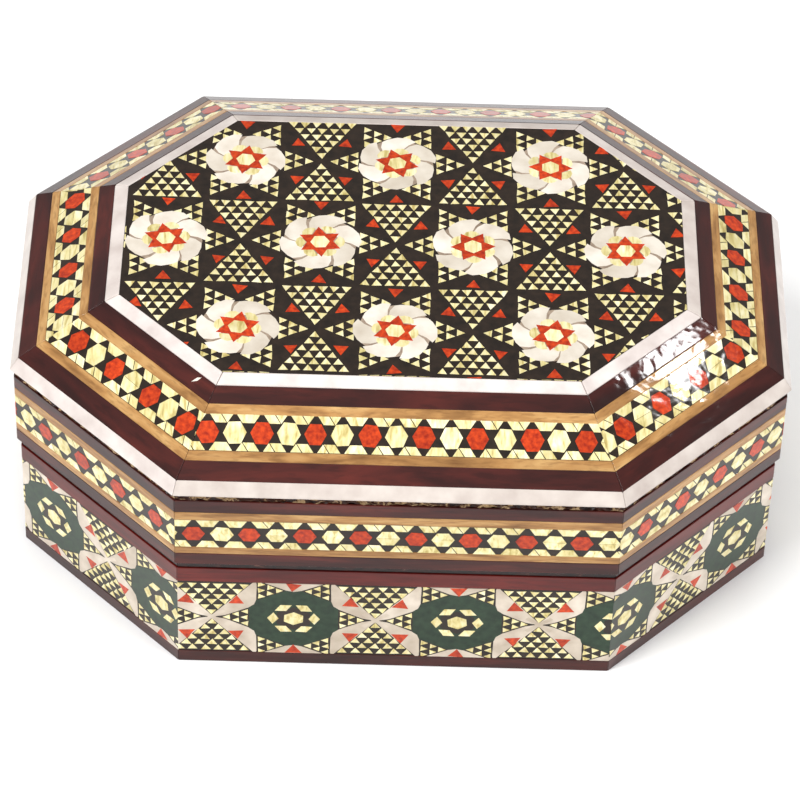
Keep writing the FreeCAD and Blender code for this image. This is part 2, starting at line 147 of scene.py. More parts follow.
class Finish:
    """A material with its shader, and short ways to add the nodes that colour it."""

    def __init__(self, name, roughness, coat=0.0, coat_roughness=0.04):
        self.material = bpy.data.materials.new(name)
        self.material.use_nodes = True
        self.nodes = self.material.node_tree.nodes
        self.links = self.material.node_tree.links
        self.shader = self.nodes["Principled BSDF"]
        self.shader.inputs["Roughness"].default_value = roughness
        self.shader.inputs["Coat Weight"].default_value = coat
        self.shader.inputs["Coat Roughness"].default_value = coat_roughness
        if coat:
            self.shader.inputs["Specular IOR Level"].default_value = UNDER_LACQUER
            self.shader.inputs["Coat IOR"].default_value = LACQUER_IOR
        self.coordinates = self.nodes.new("ShaderNodeTexCoord").outputs["Object"]

    def join(self, source, target):
        self.links.new(source, target)

    def stretched(self, stretch, turn):
        """Object coordinates turned about the upright axis and drawn out along each axis."""
        mapping = self.nodes.new("ShaderNodeMapping")
        mapping.vector_type = "TEXTURE"
        mapping.inputs["Rotation"].default_value = (0, 0, math.radians(turn))
        mapping.inputs["Scale"].default_value = stretch
        self.join(self.coordinates, mapping.inputs["Vector"])
        return mapping.outputs["Vector"]

    def noise(self, scale, detail=4.0, stretch=(1, 1, 1), distortion=0.0, turn=0.0):
        texture = self.nodes.new("ShaderNodeTexNoise")
        texture.inputs["Scale"].default_value = scale
        texture.inputs["Detail"].default_value = detail
        texture.inputs["Distortion"].default_value = distortion
        self.join(self.stretched(stretch, turn), texture.inputs["Vector"])
        return texture.outputs["Fac"]

    def tone(self):
        attribute = self.nodes.new("ShaderNodeAttribute")
        attribute.attribute_name = "tone"
        return attribute.outputs["Fac"]

    def toned(self, body, deepest):
        """The body colour, multiplied by the deepest tone where a piece's own tone is low."""
        return self.mix(self.tone(), self.mix(1.0, body, deepest, "MULTIPLY"), body)

    def ramp(self, value, stops):
        ramp = self.nodes.new("ShaderNodeValToRGB")
        elements = ramp.color_ramp.elements
        while len(elements) < len(stops):
            elements.new(0.5)
        for element, (place, colour) in zip(elements, stops):
            element.position = place
            element.color = colour
        self.join(value, ramp.inputs["Fac"])
        return ramp.outputs["Color"]

    def mix(self, share, first, second, blend="MIX"):
        mix = self.nodes.new("ShaderNodeMix")
        mix.data_type = "RGBA"
        mix.blend_type = blend
        for socket, value in ((mix.inputs[0], share), (mix.inputs[6], first), (mix.inputs[7], second)):
            if isinstance(value, (int, float, tuple)):
                socket.default_value = value
            else:
                self.join(value, socket)
        return mix.outputs[2]

    def span(self, value, low, high):
        change = self.nodes.new("ShaderNodeMapRange")
        change.inputs["To Min"].default_value = low
        change.inputs["To Max"].default_value = high
        self.join(value, change.inputs["Value"])
        return change.outputs["Result"]

    def colour(self, source):
        self.join(source, self.shader.inputs["Base Color"])

    def rough(self, source):
        self.join(source, self.shader.inputs["Roughness"])

    def bump(self, height, strength, distance):
        bump = self.nodes.new("ShaderNodeBump")
        bump.inputs["Strength"].default_value = strength
        bump.inputs["Distance"].default_value = distance
        self.join(height, bump.inputs["Height"])
        self.join(bump.outputs["Normal"], self.shader.inputs["Normal"])

    def lacquer_waves(self, strength=0.12):
        """Gentle unevenness of the thick lacquer, seen only in its gloss."""
        bump = self.nodes.new("ShaderNodeBump")
        bump.inputs["Strength"].default_value = strength
        bump.inputs["Distance"].default_value = LACQUER_WAVE_DEPTH
        self.join(self.noise(LACQUER_WAVE_SCALE, detail=2.0), bump.inputs["Height"])
        self.join(bump.outputs["Normal"], self.shader.inputs["Coat Normal"])


# Grain of a strip runs level along every side: it changes quickly with height and slowly along the plan.
# Grain of a board runs along that board.
ALONG_SIDES = (9, 9, 1)
ALONG_BOARD = (9, 1, 1)
# Pores are this many times finer than the grain
PORE_FINENESS = 5

# What the colour of a piece with the lowest tone is multiplied by
DEEPEST_WOOD = (0.80, 0.78, 0.76, 1)
DEEPEST_INLAY = (0.78, 0.76, 0.72, 1)
DEEPEST_BRASS = (0.76, 0.74, 0.62, 1)


def wood_finish(name, dark, middle, pale, grain_scale, coat=1.0, stretch=ALONG_SIDES, turn=0.0):
    """Wood with grain and pores, each piece a little different in tone."""
    wood = Finish(name, roughness=0.45, coat=coat)
    grain = wood.noise(grain_scale, detail=6.0, stretch=stretch, distortion=0.6, turn=turn)
    pores = wood.noise(grain_scale * PORE_FINENESS, detail=3.0, stretch=stretch, turn=turn)
    body = wood.ramp(grain, [(0.28, dark), (0.5, middle), (0.74, pale)])
    pored = wood.mix(wood.ramp(pores, [(0.36, grey(0.4)), (0.5, grey(0))]), body, dark)
    wood.colour(wood.toned(pored, DEEPEST_WOOD))
    wood.rough(wood.span(pores, low=0.36, high=0.55))
    wood.bump(grain, strength=0.12, distance=0.08 * MM)
    if coat:
        wood.lacquer_waves()
    return wood.material


def inlay_finish(name, dark, pale, scale, roughness):
    """Small inlaid pieces and bone: mottled, each a little different from the next."""
    inlay = Finish(name, roughness, coat=1.0)
    mottle = inlay.noise(scale, detail=5.0)
    body = inlay.ramp(mottle, [(0.3, dark), (0.7, pale)])
    inlay.colour(inlay.toned(body, DEEPEST_INLAY))
    inlay.rough(inlay.span(mottle, low=roughness - 0.06, high=roughness + 0.1))
    inlay.bump(mottle, strength=0.1, distance=0.05 * MM)
    inlay.lacquer_waves(strength=0.09)
    return inlay.material


def gold_finish():
    """Pale brass pieces, filed flat and scratched, under the lacquer."""
    gold = Finish("mosaic_brass", roughness=0.4, coat=1.0)
    scratches = gold.noise(1500, detail=3.0, stretch=(1, 6, 2.2), distortion=0.4)
    cloud = gold.noise(420, detail=3.0)
    body = gold.ramp(scratches, [(0.3, shade(198, 178, 112)), (0.46, shade(243, 231, 174)),
                                 (0.7, shade(254, 248, 216))])
    wear = gold.ramp(cloud, [(0.45, grey(0)), (0.7, grey(0.5))])
    worn = gold.mix(wear, body, shade(204, 186, 120))
    gold.colour(gold.toned(worn, DEEPEST_BRASS))
    gold.shader.inputs["Metallic"].default_value = 0.15
    gold.rough(gold.span(scratches, low=0.3, high=0.5))
    gold.bump(scratches, strength=0.15, distance=0.03 * MM)
    gold.lacquer_waves(strength=0.09)
    return gold.material


def velvet_finish():
    """Cloth of the linings: short pile, brushed a little unevenly."""
    velvet = Finish("lining_velvet", roughness=0.95)
    pile = velvet.noise(5200, detail=3.0)
    nap = velvet.noise(60, detail=3.0)
    body = velvet.ramp(pile, [(0.3, shade(58, 8, 14)), (0.7, shade(110, 18, 26))])
    velvet.colour(velvet.mix(velvet.span(nap, low=0.0, high=0.5), body, shade(128, 30, 38)))
    velvet.shader.inputs["Sheen Weight"].default_value = 0.7
    velvet.shader.inputs["Sheen Roughness"].default_value = 0.4
    velvet.shader.inputs["Sheen Tint"].default_value = shade(190, 70, 76)
    velvet.bump(pile, strength=0.5, distance=0.15 * MM)
    return velvet.material


def hinge_finish():
    """Solid brass of the hinges, rubbed along its length and stained."""
    brass = Finish("hinge_brass", roughness=0.35)
    wear = brass.noise(900, detail=5.0, stretch=(5, 1, 1))
    stain = brass.noise(260, detail=4.0)
    body = brass.ramp(wear, [(0.3, shade(150, 112, 52)), (0.7, shade(206, 170, 96))])
    brass.colour(brass.mix(brass.span(stain, low=0.0, high=0.6), body, shade(92, 66, 34)))
    brass.shader.inputs["Metallic"].default_value = 1.0
    brass.rough(brass.span(wear, low=0.25, high=0.5))
    brass.bump(wear, strength=0.15, distance=0.03 * MM)
    return brass.material


def raw_edge_finish():
    """Rough board edge: dark glue and lacquer with pale flakes of wood."""
    edge = Finish("raw_board_edge", roughness=0.4, coat=0.6, coat_roughness=0.15)
    flakes = edge.noise(800, detail=5.0, stretch=(1.6, 1.6, 1), distortion=0.8)
    edge.colour(edge.ramp(flakes, [(0.36, shade(26, 14, 11)), (0.52, shade(66, 36, 24)),
                                   (0.60, shade(178, 150, 110)), (0.66, shade(70, 38, 26))]))
    edge.rough(edge.span(flakes, low=0.2, high=0.6))
    edge.bump(flakes, strength=0.6, distance=0.25 * MM)
    return edge.material


def parting_shadow_finish():
    """Nearly black colour in the line between lid and base: painted shadow under the lid, mottled, with
    wet-looking glints from its gloss.
    """
    line = Finish("parting_line_painted_shadow", roughness=0.3, coat=1.0, coat_roughness=0.08)
    shadow_mottle = line.noise(900, detail=5.0, stretch=(2, 2, 1), distortion=0.6)
    line.colour(line.ramp(shadow_mottle, [(0.4, shade(18, 9, 9)), (0.62, shade(44, 20, 18)),
                                  (0.72, shade(92, 56, 44))]))
    line.rough(line.span(shadow_mottle, low=0.2, high=0.6))
    line.bump(shadow_mottle, strength=0.8, distance=0.3 * MM)
    return line.material


def floor_finish():
    """Plain white paper under the box."""
    paper = Finish("pale_floor", roughness=0.85)
    fibre = paper.noise(35, detail=3.0)
    paper.colour(paper.ramp(fibre, [(0.3, shade(247, 247, 247)), (0.7, shade(252, 252, 252))]))
    return paper.material


DARK_WOOD = wood_finish("dark_mahogany", shade(36, 10, 8), shade(62, 20, 16), shade(94, 34, 26), 420)
RED_WOOD = wood_finish("red_brown_band", shade(58, 10, 8), shade(93, 19, 15), shade(116, 33, 25), 380)
PALE_WOOD = wood_finish("tan_line", shade(118, 80, 42), shade(178, 132, 78), shade(208, 168, 110), 900)
# Boards by the turn of their side, because their grain runs along it
BOX_WOOD = {
    turn: wood_finish(f"box_boards_{turn}", shade(98, 60, 34), shade(136, 90, 54), shade(160, 112, 70), 420,
                      coat=0.25, stretch=ALONG_BOARD, turn=turn)
    for turn in (0, 45, 90, 135)
}
BONE = inlay_finish("bone", shade(210, 199, 184), shade(237, 230, 219), 260, 0.35)
# Bone of the two slanting lines: pinker, and darker than the other bone as painted shade against the extra
# light on their slant
SHADED_LINE_BONE = inlay_finish("bone_line", shade(202, 190, 185), shade(227, 218, 213), 260, 0.35)
BAND_BONE = inlay_finish("side_bone", shade(190, 175, 158), shade(226, 214, 199), 300, 0.38)
BONE_JOINT = inlay_finish("bone_joint", shade(140, 122, 106), shade(176, 158, 140), 900, 0.4)
RED = inlay_finish("red_stain", shade(150, 32, 6), shade(218, 72, 18), 1400, 0.4)
GREEN = inlay_finish("green_stain", shade(18, 40, 26), shade(38, 62, 42), 900, 0.4)
EBONY = inlay_finish("black_ground", shade(28, 20, 14), shade(46, 34, 25), 700, 0.42)
GOLD = gold_finish()
VELVET = velvet_finish()
HINGE = hinge_finish()
RAW_EDGE = raw_edge_finish()
# Nearly black painted shadow for the line under the lid's edge
PARTING_SHADOW = parting_shadow_finish()


# Shaping tools

def put_down_all():
    bpy.ops.object.select_all(action="DESELECT")


def block(name, centre, size):
    """A box to shape, with its place in its mesh."""
    put_down_all()
    bpy.ops.mesh.primitive_cube_add(size=1, location=centre)
    piece = bpy.context.object
    piece.name = name
    piece.scale = size
    bpy.ops.object.transform_apply(location=True, rotation=True, scale=True)
    return piece


def saw(piece, cuts):
    """Saw the piece along planes, each a point and a normal towards the waste."""
    put_down_all()
    bpy.context.view_layer.objects.active = piece
    piece.select_set(True)
    bpy.ops.object.mode_set(mode="EDIT")
    for point, normal in cuts:
        bpy.ops.mesh.select_all(action="SELECT")
        unit = Vector(normal).normalized()
        bpy.ops.mesh.bisect(plane_co=point, plane_no=unit, clear_outer=True, use_fill=True,
                            threshold=SAW_THRESHOLD)
    bpy.ops.object.mode_set(mode="OBJECT")
    return piece


def round_edges(piece, width, segments=2):
    put_down_all()
    bpy.context.view_layer.objects.active = piece
    piece.select_set(True)
    bpy.ops.object.shade_smooth()
    bevel = piece.modifiers.new("rounded", "BEVEL")
    bevel.width = width
    bevel.segments = segments
    bevel.limit_method = "ANGLE"
    bevel.angle_limit = SHARP_ANGLE
    bevel.harden_normals = True
    bpy.ops.object.modifier_apply(modifier=bevel.name)
    return piece


def give_tone(mesh, value):
    attribute = mesh.attributes.get("tone") or mesh.attributes.new("tone", "FLOAT", "POINT")
    attribute.data.foreach_set("value", [value] * len(mesh.vertices))


def gather(name, pieces):
    """Several pieces made one."""
    put_down_all()
    for piece in pieces:
        piece.select_set(True)
    bpy.context.view_layer.objects.active = pieces[0]
    if len(pieces) > 1:
        bpy.ops.object.join()
    whole = bpy.context.view_layer.objects.active
    whole.name = name
    whole.data.name = name
    return whole


def dress(piece, material, body, slot, *nodes):
    """Give a finished piece its material and body, and hide the nodes that it stands for. The slot is not
    used.
    """
    piece.data.materials.clear()
    piece.data.materials.append(material)
    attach(piece, body)
    if nodes:
        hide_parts(*nodes)


def side_place(side):
    """From a side's own frame, X along it, Y outward and Z up, to the box."""
    turn, (x, y), _ = SIDES[side]
    return Matrix.Translation((x, y, 0)) @ Matrix.Rotation(math.radians(turn), 4, "Z")


def mitre_cuts(half_length, gap=JOINT_GAP):
    """The two mitre planes at a side's ends, in its own frame."""
    reach = half_length - gap / 2
    return [((reach, 0, 0), (1, -MITRE, 0)), ((-reach, 0, 0), (-1, -MITRE, 0))]


# Mitred strips

def mitred_ring(name, outer, inner, low, high, slope_cuts=(), rounding=EDGE_ROUND):
    """Eight strips round the box, between two insets and two heights, mitred at the corners."""
    strips = []
    for side, (_, _, half_length) in SIDES.items():
        longest = 2 * (half_length - min(outer, inner) * MITRE)
        centre = (0, -(outer + inner) / 2, (low + high) / 2)
        strip = block(f"{name}_{side}", centre, (longest, inner - outer, high - low))
        saw(strip, mitre_cuts(half_length) + list(slope_cuts))
        round_edges(strip, rounding)
        give_tone(strip.data, draw.random())
        strip.data.transform(side_place(side))
        strips.append(strip)
    return gather(name, strips)


def slope_cut(inset, height, towards_waste):
    """Plane along the lid's slope through one of its level lines."""
    normal = Vector((0, math.sin(SLOPE), math.cos(SLOPE))) * towards_waste
    return ((0, -inset, height), tuple(normal))


def rim_strip(node, material, slot):
    low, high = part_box(node)
    ring = mitred_ring(node + "_finish", 0, RIM_CORE, low.z, high.z)
    dress(ring, material, "lid", slot, node)


def slope_strip(node, index, drop=0.0):
    """One strip of the slope, from the inset of its own foot to that of the next strip."""
    outer = HALF_WIDTH - high_corner(node).x
    if index + 1 < len(SLOPE_STRIPS):
        inner = HALF_WIDTH - high_corner(SLOPE_STRIPS[index + 1]).x
    else:
        inner = SLOPE_HEAD
    low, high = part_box(node)
    cuts = [slope_cut(SLOPE_FOOT, SLOPE_FOOT_Z - drop, 1),
            slope_cut(SLOPE_FOOT, SLOPE_FOOT_Z - SLOPE_SKIN, -1)]
    return mitred_ring(node + "_finish", outer, inner, low.z, high.z, cuts)


def lid_strips():
    for name in ("upper", "lower"):
        rim_strip(f"lid_rim_{name}_dark_strip", DARK_WOOD, "dark_wood")
        rim_strip(f"lid_rim_{name}_pale_strip", PALE_WOOD, "pale_wood")
    for index, node in enumerate(SLOPE_STRIPS):
        if node == "lid_slope_inlay":
            ground = slope_strip(node, index, GROUND_DROP)
            dress(ground, EBONY, "lid", "mosaic", node)
        elif "dark" in node:
            dress(slope_strip(node, index), DARK_WOOD, "lid", "dark_wood", node)
        else:
            dress(slope_strip(node, index), PALE_WOOD, "lid", "pale_wood", node)
    low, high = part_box("lid_rim_inlay")
    ground = mitred_ring("lid_rim_inlay_ground", GROUND_DROP, RIM_CORE, low.z, high.z)
    dress(ground, EBONY, "lid", "mosaic", "lid_rim_inlay")


def bone_lines():
    """The slanting white line on the lid's edge and the raised one round the top panel."""
    low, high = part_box("lid_edge_bone_line")
    run, rise = SLOPE_FOOT - EDGE_FACE, high.z - low.z - EDGE_LIP
    slant = ((0, -SLOPE_FOOT, high.z), (0, rise, run))
    edge = mitred_ring("lid_edge_bone_line_finish", EDGE_FACE, SLOPE_FOOT, low.z, high.z, [slant],
                       EDGE_LINE_ROUND)
    dress(edge, SHADED_LINE_BONE, "lid", "bone", "lid_edge_bone_line")
    low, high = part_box("lid_top_bone_line")
    run, rise = PANEL_EDGE - SLOPE_HEAD, high.z - SLOPE_HEAD_Z
    slant = ((0, -PANEL_EDGE, high.z), (0, rise, run))
    top = mitred_ring("lid_top_bone_line_finish", SLOPE_HEAD, PANEL_EDGE, low.z, high.z, [slant],
                      TOP_LINE_ROUND)
    dress(top, SHADED_LINE_BONE, "lid", "bone", "lid_top_bone_line")


# Dark line in a shallow recess at the top of the edging where the lid meets the base; its nearly black colour
# is painted shadow under the lid
PARTING_HEIGHT = 1.4 * MM
PARTING_DEPTH = 0.25 * MM


def base_edging():
    low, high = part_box("base_lower_edging")
    ring = mitred_ring("base_lower_edging_finish", BASE_FACE, BASE_CORE, low.z, high.z)
    dress(ring, DARK_WOOD, "base", "dark_wood", "base_lower_edging")
    low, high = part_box("base_upper_edging")
    parting = high.z - PARTING_HEIGHT
    ring = mitred_ring("base_upper_edging_finish", BASE_FACE, BASE_CORE, low.z, parting)
    dress(ring, RED_WOOD, "base", "red_brown_wood", "base_upper_edging")
    # The ring's nearly black colour is painted shadow under the lid's edge
    ring = mitred_ring("base_parting_line", BASE_FACE + PARTING_DEPTH, BASE_CORE, parting, high.z)
    dress(ring, PARTING_SHADOW, "base", "red_brown_wood", "base_upper_edging")
    low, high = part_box("base_inlay_front")
    ground = mitred_ring("base_inlay_ground", BASE_FACE + GROUND_DROP, BASE_CORE, low.z, high.z)
    dress(ground, EBONY, "base", "mosaic", *(f"base_inlay_{side}" for side in SIDES))


# Mosaic tiles: each outline is modelled once as a small plate and then copied

def polar(radius, degrees):
    return (radius * math.cos(math.radians(degrees)), radius * math.sin(math.radians(degrees)))


def regular(count, radius, turn=0.0):
    return [polar(radius, turn + 360 * index / count) for index in range(count)]


class Tile:
    """A plate with softened upper edges, from its outline in millimetres."""

    def __init__(self, name, outline):
        put_down_all()
        bpy.ops.mesh.primitive_cylinder_add(vertices=len(outline), radius=MM, depth=TILE_DEPTH,
                                            location=(0, 0, -TILE_DEPTH / 2))
        plate = bpy.context.object
        plate.name = name
        bpy.ops.object.transform_apply(location=True, rotation=True, scale=True)
        count = len(outline)
        order = sorted(range(2 * count), key=lambda i: (plate.data.vertices[i].co.z, i))
        for level in (order[:count], order[count:]):
            for index, (x, y) in zip(level, outline):
                vertex = plate.data.vertices[index]
                vertex.co.x, vertex.co.y = x * MM, y * MM
        bpy.ops.object.mode_set(mode="EDIT")
        bpy.ops.mesh.select_all(action="SELECT")
        bpy.ops.mesh.normals_make_consistent(inside=False)
        bpy.ops.mesh.select_all(action="DESELECT")
        bpy.ops.object.mode_set(mode="OBJECT")
        for edge in plate.data.edges:
            ends = [plate.data.vertices[index] for index in edge.vertices]
            edge.select = all(end.co.z > -TILE_DEPTH / 4 for end in ends)
        bpy.ops.object.mode_set(mode="EDIT")
        bpy.ops.mesh.select_mode(type="EDGE")
        bpy.ops.mesh.bevel(offset=TILE_EDGE, segments=1, affect="EDGES")
        bpy.ops.object.mode_set(mode="OBJECT")
        self.points = [vertex.co.copy() for vertex in plate.data.vertices]
        self.faces = [tuple(face.vertices) for face in plate.data.polygons]
        bpy.data.objects.remove(plate, do_unlink=True)


# The mosaic's materials and their names in a piece
MOSAIC = [(GOLD, "brass"), (RED, "red"), (BONE, "bone"), (BAND_BONE, "side_bone"), (BONE_JOINT, "bone_joint"),
          (GREEN, "green"), (EBONY, "black")]

# How far a tile lies below the gold ones, in millimetres, so that what is let into it covers it
STAR_SINK = 0.01
CROSS_SINK = 0.01
BONE_SINK = 0.02
POINT_SINK = 0.03
BED_SINK = 0.035


class Layout:
    """Tiles laid on one flat panel, sorted by material."""

    def __init__(self, squash=1.0, tile_squash=1.0):
        self.laid = {}
        self.squash = squash
        self.tile_squash = tile_squash

    def lay(self, material, tile, x, y, turn=0.0, size=1.0, sink=0.0):
        self.laid.setdefault(material.name, []).append((tile, x, y, turn, size, sink, draw.random()))

    def mesh(self, name, material):
        """One mesh of all the tiles of a material, in the panel's own frame, faces up along Z."""
        points, faces, tones = [], [], []
        for tile, x, y, turn, size, sink, tone in self.laid.get(material.name, []):
            start = len(points)
            cosine, sine = size * math.cos(math.radians(turn)), size * math.sin(math.radians(turn))
            for point in tile.points:
                across = x * MM + cosine * point.x - sine * point.y
                along = y * MM * self.squash + (sine * point.x + cosine * point.y) * self.tile_squash
                points.append((across, along, point.z - sink * MM))
                tones.append(tone)
            faces += [tuple(start + index for index in face) for face in tile.faces]
        mesh = bpy.data.meshes.new(name)
        mesh.from_pydata(points, [], faces)
        mesh.shade_flat()
        mesh.attributes.new("tone", "FLOAT", "POINT").data.foreach_set("value", tones)
        piece = bpy.data.objects.new(name, mesh)
        bpy.context.scene.collection.objects.link(piece)
        return piece


# Small gold triangles, in millimetres, and the rows of them in a star's point and in a large triangle
MINI_PITCH = 1.92
MINI_EDGE = 1.58
MINI_RADIUS = MINI_EDGE / math.sqrt(3)
MINI_ROW = MINI_PITCH * math.sqrt(3) / 2
POINT_ROWS = 3
FILL_ROWS = 6

# Chance differences of the tiles: place in millimetres, turn in degrees, and smallest and largest size
MINI_STRAY = 0.06
MINI_TURN = 6
MINI_SIZES = (0.92, 1.05)
RED_TURN = 8
RED_SIZES = (0.92, 1.08)
STAR_STRAY = 0.35
STAR_TURN = 30
KITE_TURN = 3
KITE_SIZES = (0.95, 1.02)
PETAL_TURN = 1.2
PETAL_SIZES = (0.96, 1.0)
CENTRE_TURN = 6
RHOMB_TURN = 5

# Outlines in millimetres
RED_STAR_NOTCH = 2.15
RED_STAR_POINT = 3.7

MINI = Tile("tile_mini_triangle", regular(3, MINI_RADIUS, 90))
RED_TRIANGLE = Tile("tile_red_triangle", [(-1.1, 0), (1.1, 0), (0, 1.8)])
CENTRE = Tile("tile_centre_hexagon", regular(6, 1.6))
RED_STAR = Tile("tile_red_star", [polar(RED_STAR_NOTCH if step % 2 else RED_STAR_POINT, 30 * step)
                                  for step in range(12)])
GOLD_KITE = Tile("tile_gold_kite", [(2.25, 0), (3.1, -1.38), (3.75, -0.85), (4.0, 0), (3.75, 0.85),
                                    (3.1, 1.38)])
PETAL = Tile("tile_bone_petal", [polar(radius, turn) for radius, turn in
                                 ((3.4, 1), (5.2, -8), (6.5, -15), (6.9, -3), (6.8, 14), (6.45, 29),
                                  (6.15, 39), (5.0, 48), (3.4, 58))])
PETAL_BED = Tile("tile_petal_bed", regular(18, 6.0))
DARK_STAR = Tile("tile_dark_star", regular(6, 3.1, 30))
RHOMB = Tile("tile_rhomb", [(0.92, 0), (0, 1.55), (-0.92, 0), (0, -1.55)])


def triangle_rows(layout, order, x, y, turn, size=1.0, spread=(1.0, 1.0), sink=0.0):
    """A triangle of small gold ones, point upward before the turn, its middle at x, y."""
    height = order * MINI_ROW
    cosine, sine = math.cos(math.radians(turn)), math.sin(math.radians(turn))
    for row in range(order):
        for place in range(row + 1):
            across = (place - row / 2) * MINI_PITCH * size * spread[0]
            up = (height * 2 / 3 - (row + 2 / 3) * MINI_ROW) * size * spread[1]
            across += stray(MINI_STRAY)
            up += stray(MINI_STRAY)
            layout.lay(GOLD, MINI, x + cosine * across - sine * up, y + sine * across + cosine * up,
                       turn + stray(MINI_TURN), size * draw.uniform(*MINI_SIZES), sink)


def star_frame(layout, x, y, point_base, point_size, red_distance, red_size, red_rise=1.0,
               highest=math.inf):
    """What both kinds of star share: six points of small triangles, and red triangles between.

    A panel too low for the whole star has its red triangles nearer to its middle, and none higher than
    its edge.
    """
    for turn in range(0, 360, 60):
        middle = point_base + point_size * POINT_ROWS * MINI_ROW / 3
        across, up = polar(middle, turn)
        triangle_rows(layout, POINT_ROWS, x + across, y + up, turn - 90, point_size, sink=POINT_SINK)
        across, up = polar(red_distance, turn + 30)
        up = max(-highest, min(highest, up * red_rise))
        layout.lay(RED, RED_TRIANGLE, x + across, y + up, turn + 30 + 90 + stray(RED_TURN),
                   red_size * draw.uniform(*RED_SIZES))


# Top panel: the stars' pitch and rows, how much the pattern and its tiles are pressed together from front to
# back, the gap from the tip of a large triangle to the middle between two stars, and the pattern's shift
TOP_PITCH = 25.0
TOP_ROWS = range(-2, 3)
STAR_PLACES = range(-3, 4)
TOP_SQUASH = 0.93
TOP_TILE_SQUASH = 0.99
TOP_APEX = 0.57
TOP_SHIFT = (-1.4, 0.4)
# Its stars' points start here, and their red triangles lie a little inside the hexagon round each star
TOP_POINT_BASE = 6.35
TOP_RED_INSIDE = 0.35
TOP_RED_DISTANCE = TOP_PITCH / 2 * math.cos(math.radians(30)) - TOP_RED_INSIDE
TOP_RED_SIZE = 1.08
GROUND_TONE = 0.5


def lid_star(layout, x, y):
    """Star of the lid's top: a red and gold rosette in a ring of bone petals."""
    x += stray(STAR_STRAY)
    y += stray(STAR_STRAY)
    star_frame(layout, x, y, TOP_POINT_BASE, 1.0, TOP_RED_DISTANCE, TOP_RED_SIZE)
    turn = stray(STAR_TURN)
    layout.lay(GOLD, CENTRE, x, y, turn)
    layout.lay(RED, RED_STAR, x, y, turn + 30, 1.0, STAR_SINK)
    layout.lay(BONE_JOINT, PETAL_BED, x, y, turn, 1.0, BED_SINK)
    for step in range(0, 360, 60):
        layout.lay(GOLD, GOLD_KITE, x, y, turn + step + stray(KITE_TURN), draw.uniform(*KITE_SIZES))
        layout.lay(BONE, PETAL, x, y, turn + step + stray(PETAL_TURN), draw.uniform(*PETAL_SIZES), BONE_SINK)


def fill_triangles(layout, centres, pitch, apex, spread=(1.0, 1.0)):
    """The large gold triangles that meet nearly point to point between the stars."""
    depth = apex + FILL_ROWS * MINI_ROW * spread[1] * 2 / 3
    for x, y in centres:
        triangle_rows(layout, FILL_ROWS, x + pitch / 2, y + depth, 180, 1.0, spread)
        triangle_rows(layout, FILL_ROWS, x + pitch / 2, y - depth, 0, 1.0, spread)


def top_panel():
    """Star panel on the lid: its black ground and the tiles laid in it."""
    layout = Layout(TOP_SQUASH, TOP_TILE_SQUASH)
    row_height = TOP_PITCH * math.sqrt(3) / 2
    stars = []
    for row in TOP_ROWS:
        for place in STAR_PLACES:
            x = TOP_SHIFT[0] + (place + 0.5 + row / 2 - row // 2) * TOP_PITCH
            stars.append((x, TOP_SHIFT[1] + row * row_height))
    for x, y in stars:
        lid_star(layout, x, y)
    fill_triangles(layout, stars, TOP_PITCH, TOP_APEX)
    cuts = []
    for side in SIDES:
        place = side_place(side)
        normal = place.to_3x3() @ Vector((0, 1, 0))
        cuts.append((tuple(place @ Vector((0, -PANEL_EDGE - JOINT_GAP, 0))), tuple(normal)))
    low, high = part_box("lid_top_inlay")
    ground_top = LID_TOP - GROUND_DROP
    ground = block("lid_top_ground", (0, 0, (low.z + ground_top) / 2),
                   (2 * high.x, 2 * high.y, ground_top - low.z))
    saw(ground, cuts)
    round_edges(ground, TILE_EDGE)
    give_tone(ground.data, GROUND_TONE)
    dress(ground, EBONY, "lid", "mosaic", "lid_top_inlay")
    for material, name in MOSAIC:
        if material.name not in layout.laid:
            continue
        piece = saw(layout.mesh(f"lid_top_{name}_tiles", material), cuts)
        piece.data.transform(Matrix.Translation((0, 0, LID_TOP - TILE_TOP)))
        dress(piece, material, "lid", "mosaic")


# Panels of the base: pitch of the stars, how much the pattern is pressed together in height, gap from the tip
# of a large triangle to the crossing, and how much those triangles are spread along and up the panel
SIDE_PITCH = 26.2
SIDE_SQUASH = 0.85
SIDE_APEX = 0.5
SIDE_SPREAD = (1.08, 0.86)
# Star's points, and its red triangles, which lie a little inside the hexagon round it
SIDE_POINT_BASE = 7.25
SIDE_POINT_SIZE = 0.85
SIDE_RED_INSIDE = 0.08
SIDE_RED_DISTANCE = SIDE_PITCH / 2 * math.cos(math.radians(30)) - SIDE_RED_INSIDE
SIDE_RED_SIZE = 1.3
SIDE_RED_RISE = 0.87
SIDE_HALF_HEIGHT = 8.05
SIDE_EDGE = SIDE_HALF_HEIGHT / SIDE_SQUASH
SIDE_CENTRE_SIZE = 1.1
RHOMB_DISTANCE = 3.3
# Where the pattern falls on each side: nearly running on round the corners, apart from those of the front left
# side, which follows the photo
SIDE_SHIFT = {"front": -3.1, "front_right": -2.7, "right": 11.1, "back_right": -1.3,
              "back": -2.5, "back_left": -3.7, "left": 10.1, "front_left": 1.9}


def hexagon_side(share, out):
    """Point along one side of the hexagon round a star, moved a little outward."""
    first, second, outward = polar(SIDE_PITCH / 2, 0), polar(SIDE_PITCH / 2, 60), polar(out, 30)
    return tuple(a + (b - a) * share + c for a, b, c in zip(first, second, outward))


GREEN_FIELD = Tile("tile_green_field", regular(6, 8.25, 30))

